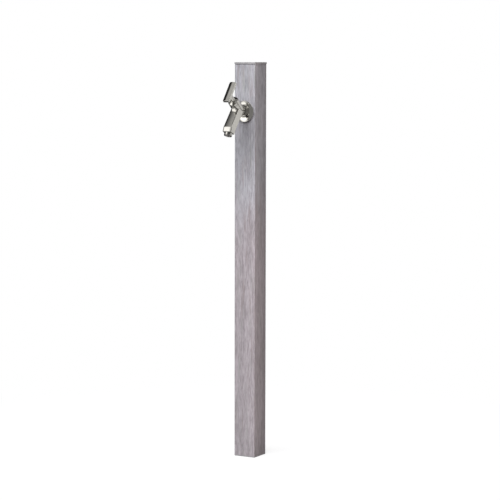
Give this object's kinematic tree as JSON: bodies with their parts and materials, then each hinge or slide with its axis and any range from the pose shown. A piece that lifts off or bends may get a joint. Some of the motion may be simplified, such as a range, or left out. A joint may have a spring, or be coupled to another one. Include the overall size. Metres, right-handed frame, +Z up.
{
  "type": "garden standpipe",
  "caption": "Square garden standpipe with a wood-grain post, an internal water pipe and a quarter-turn lever tap near the top.",
  "frame": {"origin": "centre of the post's foot, on the ground", "axes": "+Z up along the post, -Y towards the user (the tap's side), +X to the right as one faces the tap"},
  "size_m": [0.073, 0.1873, 1.2],
  "materials": {
    "wood_grain_sleeve": "extruded tube with a matt grey printed wood-grain film",
    "grey_cap": "moulded dark grey resin",
    "pipe_resin": "impact-resistant water pipe resin, dark blue grey",
    "spacer_resin": "white moulded resin",
    "raw_brass": "turned brass",
    "black_rubber": "moulded rubber",
    "satin_metal": "satin to bright nickel-chrome plate",
    "ceramic": "ground alumina",
    "white_resin": "white acetal",
    "steel": "stainless steel"
  },
  "bodies": {
    "standpipe": {"post_sleeve": "wood_grain_sleeve", "top_cap": "grey_cap", "foot_plug": "grey_cap", "supply_socket": "pipe_resin", "riser_pipe": "pipe_resin", "pipe_spacers": "spacer_resin", "tap_elbow": "pipe_resin", "elbow_insert": "raw_brass", "elbow_gasket": "black_rubber", "elbow_lock_nut": "raw_brass", "escutcheon": "satin_metal", "escutcheon_gasket": "black_rubber", "tap_body": "satin_metal", "cartridge_body": "raw_brass", "cartridge_o_ring": "black_rubber", "seat_seal": "black_rubber", "fixed_disc": "ceramic", "thrust_washer": "white_resin", "bonnet_cover": "satin_metal", "outlet_nozzle": "satin_metal", "nozzle_washer": "black_rubber", "flow_straightener": "white_resin"},
    "lever": {"lever_handle": "satin_metal", "grub_screw": "steel", "spindle": "raw_brass", "spindle_o_rings": "black_rubber", "spindle_clip": "steel", "moving_disc": "ceramic"}
  },
  "joints": [
    {"name": "lever_turn", "type": "hinge", "parent": "standpipe", "child": "lever", "pos_m": [0, -0.077, 1.0627], "axis": [0, -0.788, 0.6157], "range_deg": [0, 90]}
  ]
}
